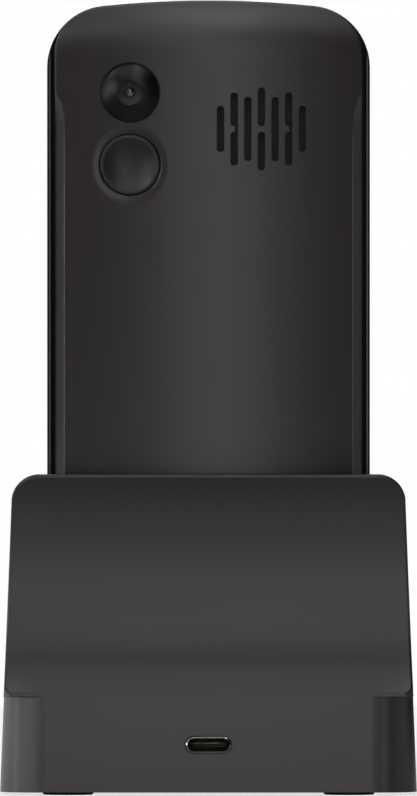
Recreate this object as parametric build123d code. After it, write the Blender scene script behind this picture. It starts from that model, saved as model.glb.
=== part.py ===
from build123d import *
import math
import os

# A keypad bar phone standing in its desk charging cradle, in millimetres.
# +Z is up, the screen faces -Y and the back of the phone faces +Y. The origin lies on the table
# under the middle of the cradle. Phone pieces are drawn upright in the phone's own frame, whose
# origin is the middle of its bottom end, and are then leaned back into the cradle's pocket. In that
# frame X runs across, Y is the depth, with 0 at the front of the chassis plate, and Z runs along.

# Phone body
PHONE_WIDTH = 64.0
PHONE_LENGTH = 132.0
FRONT_DEPTH = 6.2
REAR_DEPTH = 7.8
CORNER_RADIUS = 12.2
END_ARCH_RADIUS = 205.0
FRONT_EDGE_RADIUS = 1.6
FRONT_WALL = 1.8
SIDE_WALL = 1.5
PARTING_DEPTH = -2.4
FIT = 0.1

# Rear cover
CROWN_RADIUS = 160.0
ROLL_LENGTH = 11.5
ROLL_RADIUS = 20.0
ROLL_SWEEP = 60.0
COVER_WALL = 1.2
COVER_EDGE_RADIUS = 0.4
SEAM_CORNER_RADIUS = 8.0
FACET_WIDTH = 1.9
FACET_ANGLE = 45.0
FACET_TOP = 23.7
FACET_RUNOUT = 6.3
CREASE_RADIUS = 0.3

# Chassis frame
RIM_DEPTH = 3.4
RIM_WIDTH = 0.92
RIM_EDGE_RADIUS = 0.25
RIM_FROM_END = 9.8
SEAM_WIDTH = 0.6
END_OVERRUN = 0.3
END_SETBACK = 0.15
SHELF_DEPTH = 1.6
SHELF_WIDTH = 2.1
PLATE_THICKNESS = 1.0
BAY_WALL = 0.8
BAY_HEIGHT = 2.4
BAY_GAP = 0.3

# Camera, emergency button and loudspeaker grille, placed from the sides and the top end
CAMERA_FROM_SIDE = 16.45
CAMERA_FROM_TOP = 18.2
BEZEL_DIAMETER = 11.6
BEZEL_GAP = 0.25
BEZEL_SEAT = 0.8
BEZEL_LEDGE = 1.1
BEZEL_PROUD = 0.9
BEZEL_DOME_RADIUS = 13.0
LENS_WINDOW_DIAMETER = 5.2
LENS_WINDOW_THICKNESS = 0.5
LENS_WINDOW_LEDGE = 0.2
LENS_WINDOW_SINK = 0.35
LENS_DIAMETER = 2.2
LENS_MOUTH = 0.5
CAMERA_BODY = 8.4
CAMERA_BARREL_DIAMETER = 6.4
CAMERA_BARREL_HEIGHT = 1.2
SOS_FROM_SIDE = 16.38
SOS_FROM_TOP = 32.5
SOS_DIAMETER = 12.0
SOS_GAP = 0.15
SOS_TRAVEL = 0.6
SOS_DISH_RADIUS = 11.0
SOS_EDGE_RADIUS = 0.35
SOS_LIP = 0.8
SOS_LIP_GAP = 0.3
SOS_LIP_THICKNESS = 0.6
SOS_RECESS_WIDTH = 1.4
SOS_RECESS_DEPTH = 0.35
SOS_RECESS_BLEND = 4.0
SOS_POST_DIAMETER = 3.2
SWITCH_SIZE = 6.0
SWITCH_HEIGHT = 1.5
SWITCH_STEM_HEIGHT = 0.7
GRILLE_FROM_SIDE = 21.5
GRILLE_FROM_TOP = 25.4
SLOT_PITCH = 2.7
SLOT_WIDTH = 1.38
SLOT_BRIDGE = 1.2
BRIDGE_SLIT = 0.5
OUTER_SLOT = 9.1
SECOND_SLOT = 14.4
THIRD_SLOT = 12.7
MIDDLE_SLOT = 16.4
MESH_THICKNESS = 0.3
MESH_MARGIN = 1.2
SPEAKER_DIAMETER = 19.0
SPEAKER_GASKET = 0.6
SPEAKER_GASKET_WIDTH = 1.2
SPEAKER_DISH = 1.2
SPEAKER_CAP_RADIUS = 3.0

# Keypad, placed from the bottom end, between margins at the sides
KEYPAD_MARGIN = 5.4
KEY_HEIGHT = 6.9
KEY_CORNER_RADIUS = 2.2
KEY_SPACING = 2.0
ROW_SPACING = 1.5
FIRST_ROW = 14.5
KEY_PROUD = 0.5
KEY_GAP = 0.15
KEY_EDGE_RADIUS = 0.35
KEY_LIP = 0.6
KEY_LIP_THICKNESS = 0.5
KEY_TRAVEL = 0.4
KEY_ROWS = (
    ("key_star", "key_0", "key_hash"),
    ("key_7", "key_8", "key_9"),
    ("key_4", "key_5", "key_6"),
    ("key_1", "key_2", "key_3"),
    ("call_key", None, "end_key"),
    ("soft_key_left", None, "soft_key_right"),
)
DOME_DIAMETER = 4.0
ROCKER_GAP = 0.35
ROCKER_LIP_THICKNESS = 0.35
ROCKER_PIVOT_RADIUS = 0.5

# Display and front details
WINDOW_MARGIN = 9.0
WINDOW_FROM_TOP = 11.5
WINDOW_KEYPAD_GAP = 2.8
WINDOW_THICKNESS = 1.0
WINDOW_CORNER_RADIUS = 2.0
WINDOW_LEDGE = 3.0
EARPIECE_FROM_TOP = 6.2
EARPIECE_SLOT = (12.0, 1.6)
EARPIECE_SIZE = (15.0, 5.0)
MICROPHONE_RISE = 6.0
MICROPHONE_SIZE = (4.0, 3.0)
MICROPHONE_HOLE_DIAMETER = 1.0

# Boards, battery and fasteners inside the phone
BOARD_THICKNESS = 1.0
BOARD_EDGE_GAP = 0.6
SHEET_THICKNESS = 0.2
SHIELD_HEIGHT = 1.5
SHIELD_LENGTH = 34.0
SHIELD_WALL = 0.2
BATTERY_MARGIN = 13.0
BATTERY_TOP_MARGIN = 52.0
BATTERY_RISE = 25.0
BATTERY_CORNER_RADIUS = 2.0
TERMINAL_SIZE = (9.0, 3.0, 3.2)
TERMINAL_BLADE = 0.8
SIM_SIZE = (17.0, 13.0, 1.6)
SIM_GAP = 0.6
MOTOR_DIAMETER = 8.0
MOTOR_THICKNESS = 2.5
MOTOR_FROM_SIDE = 16.0
MOTOR_GAP = 1.5
BOSS_RADIUS = 1.9
BOSS_FROM_SIDE = 6.6
BOSS_FROM_END = 7.4
PHONE_SCREW_RADIUS = 0.7
PHONE_SCREW_HEAD_RADIUS = 1.4
PHONE_SCREW_HEAD = 0.8
PHONE_SCREW_LENGTH = 4.4
SCREW_GAP = 0.08

# Charging contacts and USB-C sockets
CONTACT_SPACING = 18.0
PAD_RADIUS = 1.6
PAD_THICKNESS = 1.2
PIN_RADIUS = 1.0
PIN_LENGTH = 6.0
PIN_GAP = 0.05
PIN_TIP_RADIUS = 0.4
BARREL_RADIUS = 1.6
BARREL_LENGTH = 8.2
BARREL_FLOOR = 0.6
USB_WIDTH = 8.94
USB_HEIGHT = 3.2
USB_WALL = 0.3
USB_LENGTH = 7.3
USB_TONGUE = (6.7, 0.7)
USB_TONGUE_SETBACK = 1.0
USB_GAP = 0.15
USB_SETBACK = 0.15

# Cradle
PHONE_TILT = 1.5
SEAT_HEIGHT = 25.4
SEAT_OFFSET = 4.5
POCKET_CLEARANCE = 0.4
SEAT_GAP = 0.3
CRADLE_WIDTH = 82.5
CRADLE_DEPTH = 53.0
CRADLE_DRAFT = 2.28
CRADLE_CORNER_RADIUS = 9.0
PANEL_CORNER_RADIUS = 2.6
PANEL_LIP = 0.8
CRADLE_WALL = 2.2
CRADLE_EDGE_RADIUS = 0.5
CRADLE_OVERRUN = 2.0
SHELF_HEIGHT = 19.5
SHELF_RISE_ANGLE = 45.0
SCOOP_RADIUS = 18.0
WAIST_OFFSET = 19.0
FLARE_START = 42.0
FLARE_RADIUS = 50.0
BACK_TOP = 63.4
BACK_CORNER_RADIUS = 5.5
SWEEP_TOP = 10.5
SWEEP_FOOT = 1.5
SWEEP_RADIUS = 6.0
LIP_HEIGHT = 34.5
LIP_THICKNESS = 3.0
LIP_EDGE_RADIUS = 2.0
NOSE_HEIGHT = 13.0
FOOT_RISE = 0.6
FOOT_SINK = 0.6
FOOT_DIAMETER = 10.0
FOOT_FROM_SIDE = 13.45
FOOT_FROM_END = 10.0
BASE_COVER_THICKNESS = 2.0
BASE_COVER_GAP = 0.15
CRADLE_SCREW_FROM_SIDE = 8.25
CRADLE_SCREW_FROM_END = 19.0
CRADLE_SCREW_RADIUS = 1.2
CRADLE_SCREW_HEAD_RADIUS = 2.3
CRADLE_SCREW_HEAD = 1.3
CRADLE_SCREW_LENGTH = 9.0
CRADLE_SCREW_SINK = 0.2
CRADLE_BOSS_RADIUS = 3.0
USB_RISE = 10.0
CRADLE_BOARD_WIDTH = 34.0
CRADLE_BOARD_FRONT = 9.0
CRADLE_BOARD_THICKNESS = 1.6
STANDOFF_RADIUS = 2.0
STANDOFF_PEG_RADIUS = 1.0
STANDOFF_INSET = 3.0
PEG_PROUD = 0.8
BLOCK_DEPTH = 6.0
BLOCK_MARGIN = 1.5
BLOCK_LIP = 1.2
BLOCK_LIP_THICKNESS = 1.5
POCKET_FLOOR = 2.4

# Depth levels in the phone, from the screen to the back
front_face = -FRONT_DEPTH
front_inner = front_face + FRONT_WALL
plate_rear = PLATE_THICKNESS
board_rear = -SHIELD_HEIGHT - 3 * FIT
board_front = board_rear - BOARD_THICKNESS
sheet_front = board_front - SHEET_THICKNESS
key_lip_front = front_inner + FIT
key_lip_rear = key_lip_front + KEY_LIP_THICKNESS
dome_front = key_lip_rear + KEY_TRAVEL + FIT
window_rear = front_face + WINDOW_THICKNESS
half_width = PHONE_WIDTH / 2
cover_half = half_width - RIM_WIDTH - SEAM_WIDTH
window_width = PHONE_WIDTH - 2 * WINDOW_MARGIN
panel_width = window_width - 2 * WINDOW_LEDGE
battery_width = PHONE_WIDTH - 2 * BATTERY_MARGIN
key_width = (PHONE_WIDTH - 2 * KEYPAD_MARGIN - 2 * KEY_SPACING) / 3

# Places across the phone, from its middle line
camera_across = half_width - CAMERA_FROM_SIDE
sos_across = half_width - SOS_FROM_SIDE
grille_across = GRILLE_FROM_SIDE - half_width
motor_across = MOTOR_FROM_SIDE - half_width
slot_spans = (OUTER_SLOT, SECOND_SLOT, THIRD_SLOT, MIDDLE_SLOT, THIRD_SLOT, SECOND_SLOT, OUTER_SLOT)

# Places along the phone
camera_along = PHONE_LENGTH - CAMERA_FROM_TOP
sos_along = PHONE_LENGTH - SOS_FROM_TOP
grille_along = PHONE_LENGTH - GRILLE_FROM_TOP
row_pitch = KEY_HEIGHT + ROW_SPACING
column_pitch = key_width + KEY_SPACING
keypad_top = FIRST_ROW + 5 * row_pitch + KEY_HEIGHT / 2
window_top = PHONE_LENGTH - WINDOW_FROM_TOP
window_bottom = keypad_top + WINDOW_KEYPAD_GAP
window_length = window_top - window_bottom
window_middle = (window_top + window_bottom) / 2
panel_length = window_length - 2 * WINDOW_LEDGE
key_places = {
    name: ((column - 1) * column_pitch, FIRST_ROW + row * row_pitch)
    for row, names in enumerate(KEY_ROWS)
    for column, name in enumerate(names)
    if name
}
battery_length = PHONE_LENGTH - BATTERY_TOP_MARGIN - BATTERY_RISE
bay_width = battery_width + 2 * BAY_GAP
bay_length = battery_length + TERMINAL_BLADE + TERMINAL_SIZE[1] + 2 * BAY_GAP
bay_middle = BATTERY_RISE - BAY_GAP + bay_length / 2
rocker_along = FIRST_ROW + 4.5 * row_pitch
rocker_height = 2 * KEY_HEIGHT + ROW_SPACING
rocker_lip_rear = sheet_front - ROCKER_PIVOT_RADIUS - FIT / 2
contact_depth = (PARTING_DEPTH + SHELF_DEPTH) / 2
contact_rise = END_ARCH_RADIUS - math.sqrt(END_ARCH_RADIUS**2 - (CONTACT_SPACING / 2) ** 2)
boss_places = [
    (side * (half_width - BOSS_FROM_SIDE), along)
    for side in (-1, 1)
    for along in (BOSS_FROM_END, PHONE_LENGTH - BOSS_FROM_END)
]

# Levels of the charging contacts along the phone, and heights in the cradle
pad_bottom = contact_rise
pin_top = pad_bottom - FIT
block_top = -SEAT_GAP - FIT
block_width = CONTACT_SPACING + 2 * (BARREL_RADIUS + BLOCK_MARGIN)
draft = math.tan(math.radians(CRADLE_DRAFT))
shelf_rise = math.tan(math.radians(SHELF_RISE_ANGLE))
shelf_edge = (SHELF_HEIGHT - FOOT_RISE * draft * shelf_rise) / (1 - draft * shelf_rise)
base_cover_top = FOOT_RISE + BASE_COVER_THICKNESS
ceiling = SHELF_HEIGHT - CRADLE_WALL
cradle_board_top = USB_RISE - USB_HEIGHT / 2 - FIT / 2
cradle_board_bottom = cradle_board_top - CRADLE_BOARD_THICKNESS
usb_mouth = CRADLE_DEPTH / 2 - (USB_RISE - FOOT_RISE) * draft - USB_SETBACK
cradle_board_rear = CRADLE_DEPTH / 2 - CRADLE_WALL - (USB_RISE - FOOT_RISE) * draft - BOARD_EDGE_GAP
cradle_screw_places = [
    (side * (CRADLE_WIDTH / 2 - CRADLE_SCREW_FROM_SIDE), end * (CRADLE_DEPTH / 2 - CRADLE_SCREW_FROM_END))
    for side in (-1, 1)
    for end in (-1, 1)
]
foot_places = [
    (side * (CRADLE_WIDTH / 2 - FOOT_FROM_SIDE), end * (CRADLE_DEPTH / 2 - FOOT_FROM_END))
    for side in (-1, 1)
    for end in (-1, 1)
]
standoff_places = [
    (side * (CRADLE_BOARD_WIDTH / 2 - STANDOFF_INSET), along)
    for side in (-1, 1)
    for along in (STANDOFF_INSET - CRADLE_BOARD_FRONT, cradle_board_rear - 2 * STANDOFF_INSET)
]

IN_CRADLE = Pos(0, SEAT_OFFSET, SEAT_HEIGHT) * Rot(-PHONE_TILT, 0, 0)
PHONE_SOCKET = Pos(0, contact_depth, USB_SETBACK) * Rot(180, 0, 0)
CRADLE_SOCKET = Pos(0, usb_mouth, USB_RISE) * Rot(-90, 0, 0)
UP = (Align.CENTER, Align.CENTER, Align.MIN)
DOWN = (Align.CENTER, Align.CENTER, Align.MAX)


def slab(sketch, front, rear):
    """A sketch of the phone's face, made solid between two depths."""
    return extrude(Plane.XZ.offset(-rear) * sketch, amount=rear - front)


def block(width, length, across, along, front, rear):
    """A plain box of the phone's inside, between two depths."""
    return slab(Pos(across, along) * Rectangle(width, length), front, rear)


def rod(radius, across, along, front, rear):
    """A cylinder along the phone's depth."""
    return slab(Pos(across, along) * Circle(radius), front, rear)


def crown_depth(across, inset=0.0):
    """Depth of the crowned back at a distance from the middle line."""
    radius = CROWN_RADIUS - inset
    return REAR_DEPTH - inset - radius + math.sqrt(radius**2 - across**2)


def crown_spot(across, along):
    """A place on the crowned back, with its Z axis square to the surface."""
    lean = math.asin(across / CROWN_RADIUS)
    outward = (math.sin(lean), math.cos(lean), 0)
    level = (math.cos(lean), -math.sin(lean), 0)
    return Plane((across, crown_depth(across), along), level, outward).location


camera_lean = math.asin(camera_across / CROWN_RADIUS)
camera_rear = (
    crown_depth(camera_across)
    - BEZEL_SEAT
    - CAMERA_BARREL_DIAMETER / 2 * math.tan(camera_lean)
    - 2 * FIT
)
camera_shoulder = camera_rear - CAMERA_BARREL_HEIGHT
camera_place = Plane((camera_across, camera_rear, camera_along), (1, 0, 0), (0, 1, 0)).location
window_floor = BEZEL_PROUD - LENS_WINDOW_SINK - LENS_WINDOW_THICKNESS
switch_rear = plate_rear + SWITCH_HEIGHT + SWITCH_STEM_HEIGHT
sos_lean = math.asin(sos_across / CROWN_RADIUS)
sos_post_depth = switch_rear + SOS_TRAVEL + 2 * FIT + SOS_POST_DIAMETER / 2 * math.sin(sos_lean)
sos_post_end = (crown_depth(sos_across) - sos_post_depth) / math.cos(sos_lean)
speaker_reach = abs(grille_across) + SPEAKER_DIAMETER / 2
speaker_rear = crown_depth(speaker_reach, COVER_WALL) - MESH_THICKNESS - FIT - SPEAKER_GASKET
battery_rear = crown_depth(battery_width / 2, COVER_WALL) - 3 * FIT


def outline(inset=0.0):
    """The phone's face: straight sides, slightly arched ends and round corners."""
    shoulder = END_ARCH_RADIUS - math.sqrt(END_ARCH_RADIUS**2 - half_width**2)
    upper = PHONE_LENGTH - shoulder
    face = make_face(
        [
            ThreePointArc((-half_width, shoulder), (0, 0), (half_width, shoulder)),
            Line((half_width, shoulder), (half_width, upper)),
            ThreePointArc((half_width, upper), (0, PHONE_LENGTH), (-half_width, upper)),
            Line((-half_width, upper), (-half_width, shoulder)),
        ]
    )
    face = fillet(face.vertices(), CORNER_RADIUS)
    return offset(face, amount=-inset) if inset else face


def seam_outline(end_inset, half):
    """An outline inside the rim at the sides, with its own setback from the ends."""
    band = Pos(0, PHONE_LENGTH / 2) * Rectangle(2 * half, 2 * PHONE_LENGTH)
    face = outline(end_inset) & band
    corners = [v for v in face.vertices() if abs(abs(v.X) - half) < FIT / 100]
    return fillet(corners, SEAM_CORNER_RADIUS)


def cover_form(inset, front):
    """The rear cover's outer form, or its hollow when inset by the wall, down to a depth."""
    apex = REAR_DEPTH - inset
    edge = crown_depth(half_width, inset)
    section = make_face(
        [
            Line((-half_width, edge), (-half_width, front)),
            Line((-half_width, front), (half_width, front)),
            Line((half_width, front), (half_width, edge)),
            ThreePointArc((half_width, edge), (0, apex), (-half_width, edge)),
        ]
    )
    lower, upper = ROLL_LENGTH, PHONE_LENGTH - ROLL_LENGTH
    roll_depth = REAR_DEPTH - ROLL_RADIUS
    form = extrude(Pos(0, 0, lower) * section, amount=upper - lower)
    form += revolve(Pos(0, 0, upper) * section, Axis((0, roll_depth, upper), (1, 0, 0)), ROLL_SWEEP)
    form += revolve(Pos(0, 0, lower) * section, Axis((0, roll_depth, lower), (-1, 0, 0)), ROLL_SWEEP)
    face = seam_outline(END_SETBACK, cover_half)
    if inset:
        face = offset(face, amount=-inset)
    return form & slab(face, front, REAR_DEPTH)


def facet_cut(side):
    """The cut along one long side of the cover, which runs out in a curve below the top corner."""
    crease = cover_half - FACET_WIDTH
    far = half_width + FACET_WIDTH
    top = PHONE_LENGTH - FACET_TOP
    face = make_face(
        [
            Line((far, -1), (crease, -1)),
            Line((crease, -1), (crease, top)),
            TangentArc((crease, top), (cover_half, top + FACET_RUNOUT), tangent=(0, 1)),
            Line((cover_half, top + FACET_RUNOUT), (far, top + FACET_RUNOUT)),
            Line((far, top + FACET_RUNOUT), (far, -1)),
        ]
    )
    lean = math.radians(FACET_ANGLE)
    tool = extrude(
        Plane.XZ.offset(-crown_depth(crease)) * face,
        amount=REAR_DEPTH,
        dir=(math.sin(lean), -math.cos(lean), 0),
    )
    return tool if side > 0 else mirror(tool, Plane.YZ)


def on_crease(point):
    """Whether a point of the cover lies where a side facet meets the crown."""
    across = abs(point.X)
    on_crown = abs(point.Y - crown_depth(across)) < FIT / 5
    return on_crown and cover_half - FACET_WIDTH - FIT < across < cover_half - COVER_EDGE_RADIUS


def grille_slots():
    """The loudspeaker slots: seven upright columns, every second one split by a bridge.

    The middle bridge is whole; the others leave a slit on the side away from the camera.
    """
    slots = Sketch()
    first = -(len(slot_spans) - 1) / 2 * SLOT_PITCH
    slit = Rectangle(BRIDGE_SLIT, SLOT_BRIDGE + SLOT_WIDTH)
    for column, span in enumerate(slot_spans):
        across = grille_across + first + column * SLOT_PITCH
        if column % 2:
            length = (span - SLOT_BRIDGE) / 2
            shift = (length + SLOT_BRIDGE) / 2
            places = [(across, grille_along - shift), (across, grille_along + shift)]
            if 2 * column + 1 != len(slot_spans):
                slots += Pos(across - (SLOT_WIDTH - BRIDGE_SLIT) / 2, grille_along) * slit
        else:
            length = span
            places = [(across, grille_along)]
        for place in places:
            slots += Pos(*place) * SlotOverall(length, SLOT_WIDTH, rotation=90)
    return slots


def rear_cover():
    """The crowned back shell with its facets, slots, camera seat and button recess."""
    front = SHELF_DEPTH + FIT / 2
    body = cover_form(0, front)
    skirt = [f for f in body.faces() if abs(f.normal_at().Y) < 0.01]
    rim = [e for f in skirt for e in f.edges() if e.center().Y > front + SEAM_WIDTH]
    body = fillet([e for e in rim if abs((e % 0.5).Y) < 0.9], COVER_EDGE_RADIUS)
    for side in (-1, 1):
        body -= facet_cut(side)
    crease = [e for e in body.edges() if on_crease(e @ 0.5)]
    body = fillet(crease, CREASE_RADIUS)
    button = crown_spot(sos_across, sos_along)
    hole_radius = SOS_DIAMETER / 2 + SOS_GAP
    body -= button * Pos(0, 0, -SOS_RECESS_DEPTH) * Cone(
        hole_radius, hole_radius + 2 * SOS_RECESS_WIDTH, 2 * SOS_RECESS_DEPTH, align=UP
    )
    bowl = body.faces().filter_by(GeomType.CONE).sort_by_distance(button.position)[0]
    body = fillet(bowl.edges().sort_by(SortBy.LENGTH)[-1:], SOS_RECESS_BLEND)
    body -= cover_form(COVER_WALL, front - 1)
    body -= slab(grille_slots(), front, REAR_DEPTH + 1)
    body -= button * Cylinder(hole_radius, REAR_DEPTH)
    camera = crown_spot(camera_across, camera_along)
    seat_radius = BEZEL_DIAMETER / 2 + BEZEL_GAP
    body -= camera * Pos(0, 0, -BEZEL_SEAT) * Cylinder(seat_radius, 2 * REAR_DEPTH, align=UP)
    body -= camera * Cylinder(seat_radius - BEZEL_LEDGE, REAR_DEPTH)
    return body


def chassis_frame():
    """The middle frame: a plate with side rims, the cover's shelf, the battery bay and end openings."""
    frame = slab(outline(), PARTING_DEPTH, RIM_DEPTH)
    frame = fillet(frame.faces().sort_by(Axis.Y)[-1].edges(), RIM_EDGE_RADIUS)
    seam = seam_outline(-END_OVERRUN, half_width - RIM_WIDTH)
    ends = [Pos(0, along) * Rectangle(PHONE_WIDTH, 2 * RIM_FROM_END) for along in (0, PHONE_LENGTH)]
    frame -= slab(seam + ends, SHELF_DEPTH, RIM_DEPTH)
    frame -= slab(offset(seam, amount=-SHELF_WIDTH), plate_rear, SHELF_DEPTH)
    frame -= slab(outline(SIDE_WALL), PARTING_DEPTH, 0)
    bay = Pos(0, bay_middle) * RectangleRounded(
        bay_width + 2 * BAY_WALL, bay_length + 2 * BAY_WALL, BATTERY_CORNER_RADIUS + BAY_WALL
    )
    bay -= Pos(0, bay_middle) * RectangleRounded(bay_width, bay_length, BATTERY_CORNER_RADIUS)
    frame += slab(bay, plate_rear, plate_rear + BAY_HEIGHT)
    for across, along in boss_places:
        frame -= rod(PHONE_SCREW_RADIUS + SCREW_GAP, across, along, 0, plate_rear)
    frame -= PHONE_SOCKET * usb_form(USB_GAP, USB_LENGTH + USB_GAP)
    for side in (-1, 1):
        pad_hole = Cylinder(PAD_RADIUS + FIT / 2, 2 * SIDE_WALL + 2 * PAD_THICKNESS)
        frame -= Pos(side * CONTACT_SPACING / 2, contact_depth, 0) * pad_hole
    return frame


def front_housing():
    """The front shell with the display seat, key openings, earpiece slot and screw bosses."""
    housing = slab(outline(), front_face, PARTING_DEPTH - FIT / 2)
    housing = fillet(housing.faces().sort_by(Axis.Y)[0].edges(), FRONT_EDGE_RADIUS)
    housing -= slab(outline(SIDE_WALL), front_inner, PARTING_DEPTH)
    for across, along in boss_places:
        housing += rod(BOSS_RADIUS, across, along, front_inner, -FIT)
        screw_end = plate_rear - PHONE_SCREW_LENGTH - FIT
        housing -= rod(PHONE_SCREW_RADIUS + SCREW_GAP, across, along, screw_end, 0)
    window = RectangleRounded(window_width + 2 * FIT, window_length + 2 * FIT, WINDOW_CORNER_RADIUS)
    housing -= slab(Pos(0, window_middle) * window, front_face, window_rear + FIT / 2)
    housing -= block(panel_width + 4 * FIT, panel_length + 4 * FIT, 0, window_middle, front_face, 0)
    for across, along in key_places.values():
        opening = RectangleRounded(
            key_width + 2 * KEY_GAP, KEY_HEIGHT + 2 * KEY_GAP, KEY_CORNER_RADIUS + KEY_GAP
        )
        housing -= slab(Pos(across, along) * opening, front_face, front_inner)
    opening = RectangleRounded(
        key_width + 2 * ROCKER_GAP, rocker_height + 2 * ROCKER_GAP, KEY_CORNER_RADIUS + ROCKER_GAP
    )
    housing -= slab(Pos(0, rocker_along) * opening, front_face, front_inner)
    slot = Pos(0, PHONE_LENGTH - EARPIECE_FROM_TOP) * SlotOverall(*EARPIECE_SLOT)
    housing -= slab(slot, front_face, front_inner)
    housing -= rod(MICROPHONE_HOLE_DIAMETER / 2, 0, MICROPHONE_RISE, front_face, front_inner)
    return housing


def key(width, height, lip_front, lip_rear):
    """A key cap with soft edges on a wider lip that stays behind the front wall."""
    cap = slab(RectangleRounded(width, height, KEY_CORNER_RADIUS), front_face - KEY_PROUD, lip_front)
    cap = fillet(cap.faces().sort_by(Axis.Y)[0].edges(), KEY_EDGE_RADIUS)
    lip = RectangleRounded(width + 2 * KEY_LIP, height + 2 * KEY_LIP, KEY_CORNER_RADIUS + KEY_LIP)
    return cap + slab(lip, lip_front, lip_rear)


def nav_rocker():
    """The up-down rocker, which rolls on a round pivot bar behind its middle."""
    cap = key(key_width, rocker_height, rocker_lip_rear - ROCKER_LIP_THICKNESS, rocker_lip_rear)
    pivot = Rot(0, 90, 0) * Cylinder(ROCKER_PIVOT_RADIUS, key_width / 2)
    return Pos(0, 0, rocker_along) * (cap + Pos(0, rocker_lip_rear, 0) * pivot)


def keypad_sheet():
    """The sheet of snap domes on the main board, one dome under each key."""
    bottom = FIRST_ROW - row_pitch / 2
    sheet = block(
        3 * column_pitch - KEY_SPACING,
        keypad_top - bottom,
        0,
        (keypad_top + bottom) / 2,
        sheet_front,
        board_front,
    )
    for across, along in key_places.values():
        sheet += rod(DOME_DIAMETER / 2, across, along, dome_front, sheet_front)
    return sheet


def main_board():
    """The main circuit board, cut back round the screw bosses and the charging socket."""
    board = slab(outline(SIDE_WALL + BOARD_EDGE_GAP), board_front, board_rear)
    for across, along in boss_places:
        board -= rod(BOSS_RADIUS + BOARD_EDGE_GAP, across, along, board_front, board_rear)
    notch = 2 * (USB_LENGTH + BOARD_EDGE_GAP)
    board -= block(USB_WIDTH + 2 * BOARD_EDGE_GAP, notch, 0, 0, board_front, board_rear)
    return board


def board_shield():
    """The pressed metal can over the radio parts on the board's back."""
    rear = board_rear + SHIELD_HEIGHT
    can = block(panel_width, SHIELD_LENGTH, 0, window_middle, board_rear, rear)
    hollow = (panel_width - 2 * SHIELD_WALL, SHIELD_LENGTH - 2 * SHIELD_WALL)
    return can - block(*hollow, 0, window_middle, board_rear, rear - SHIELD_WALL)


def battery_terminals():
    """The terminal block at the battery's upper end, with three sprung blades."""
    width, length, height = TERMINAL_SIZE
    along = BATTERY_RISE + battery_length + TERMINAL_BLADE + length / 2
    terminals = block(width, length, 0, along, plate_rear + FIT, plate_rear + FIT + height)
    for across in (-width / 3, 0, width / 3):
        terminals += block(
            TERMINAL_BLADE,
            TERMINAL_BLADE - FIT,
            across,
            along - (length + TERMINAL_BLADE - FIT) / 2,
            plate_rear + height / 3,
            plate_rear + height * 2 / 3,
        )
    return terminals


def camera_module():
    """The camera's body and barrel, with a stepped mouth that narrows to the lens."""
    module = block(CAMERA_BODY, CAMERA_BODY, camera_across, camera_along, plate_rear, camera_shoulder)
    barrel_radius = CAMERA_BARREL_DIAMETER / 2
    module += rod(barrel_radius, camera_across, camera_along, camera_shoulder, camera_rear)
    mouth = Cone(LENS_DIAMETER / 2 + FIT, LENS_WINDOW_DIAMETER / 2, LENS_MOUTH, align=UP)
    module -= camera_place * Pos(0, 0, -LENS_MOUTH) * mouth
    well = Cylinder(LENS_DIAMETER / 2 + FIT, 2 * LENS_MOUTH, align=DOWN)
    return module - camera_place * well


def camera_lens():
    """The lens itself, a small glass dome in the barrel's mouth."""
    radius = LENS_DIAMETER / 2
    rod_form = Pos(0, 0, -2 * LENS_MOUTH + FIT) * Cylinder(radius, LENS_MOUTH, align=UP)
    dome = Pos(0, 0, FIT - LENS_MOUTH - LENS_DIAMETER) * Sphere(LENS_DIAMETER)
    return camera_place * (rod_form & dome)


def camera_bezel():
    """The gloss black ring round the camera, domed down to the cover, with a step for the clear window."""
    radius = BEZEL_DIAMETER / 2
    height = BEZEL_SEAT + BEZEL_PROUD - FIT / 2
    ring = Pos(0, 0, -BEZEL_SEAT + FIT / 2) * Cylinder(radius, height, align=UP)
    ring &= Pos(0, 0, BEZEL_PROUD - BEZEL_DOME_RADIUS) * Sphere(BEZEL_DOME_RADIUS)
    ring -= Cylinder(LENS_WINDOW_DIAMETER / 2 - LENS_WINDOW_LEDGE, 2 * height)
    ring -= Pos(0, 0, window_floor) * Cylinder(LENS_WINDOW_DIAMETER / 2, height, align=UP)
    return crown_spot(camera_across, camera_along) * ring


def camera_window():
    """The clear disc over the lens, let into the bezel."""
    disc = Cylinder(LENS_WINDOW_DIAMETER / 2 - FIT / 2, LENS_WINDOW_THICKNESS, align=UP)
    return crown_spot(camera_across, camera_along) * Pos(0, 0, window_floor + FIT / 4) * disc


def sos_button():
    """The round emergency button: a dished cap, a lip inside the cover and a post to its switch."""
    radius = SOS_DIAMETER / 2
    lip_top = -COVER_WALL - SOS_LIP_GAP
    cap = Pos(0, 0, lip_top) * Cylinder(radius, -lip_top - FIT, align=UP)
    cap = fillet(cap.faces().sort_by(Axis.Z)[-1].edges(), SOS_EDGE_RADIUS)
    dish_edge = radius - 2 * SOS_EDGE_RADIUS
    dish_rise = math.sqrt(SOS_DISH_RADIUS**2 - dish_edge**2) - FIT
    cap -= Pos(0, 0, dish_rise) * Sphere(SOS_DISH_RADIUS)
    cap += Pos(0, 0, lip_top) * Cylinder(radius + SOS_LIP, SOS_LIP_THICKNESS, align=DOWN)
    cap += Pos(0, 0, lip_top) * Cylinder(SOS_POST_DIAMETER / 2, sos_post_end + lip_top, align=DOWN)
    return crown_spot(sos_across, sos_along) * cap


def sos_switch():
    """The small push switch under the emergency button."""
    body_rear = plate_rear + SWITCH_HEIGHT
    switch = block(SWITCH_SIZE, SWITCH_SIZE, sos_across, sos_along, plate_rear, body_rear)
    return switch + rod(SOS_POST_DIAMETER / 2, sos_across, sos_along, body_rear, switch_rear)


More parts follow.
